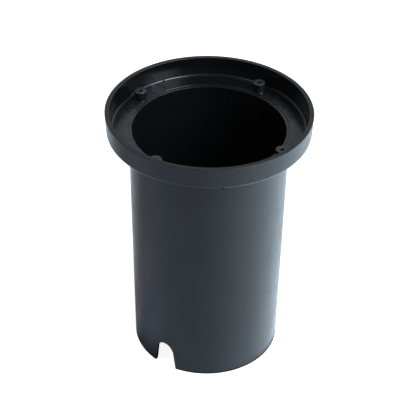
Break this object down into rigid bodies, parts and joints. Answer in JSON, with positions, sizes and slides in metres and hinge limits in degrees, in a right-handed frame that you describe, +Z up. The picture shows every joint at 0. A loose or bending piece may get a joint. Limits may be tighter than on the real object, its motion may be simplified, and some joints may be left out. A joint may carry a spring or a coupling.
{
  "type": "recessed light ground sleeve",
  "caption": "Black plastic ground sleeve for a recessed light: a cup-shaped collar with screw bosses on a tapered, open tube with an arched cable notch.",
  "frame": {"origin": "centre of the sleeve's lower edge, on the plane that it stands on", "axes": "+Z up along the sleeve's axis to the rim, -Y front, where the cable notch is, +X to the right seen from the front"},
  "size_m": [0.18, 0.18, 0.247],
  "materials": {
    "black_plastic": "black moulded polypropylene, smooth with a soft sheen"
  },
  "bodies": {
    "root": {"collar": "black_plastic", "tube": "black_plastic"}
  },
  "joints": []
}
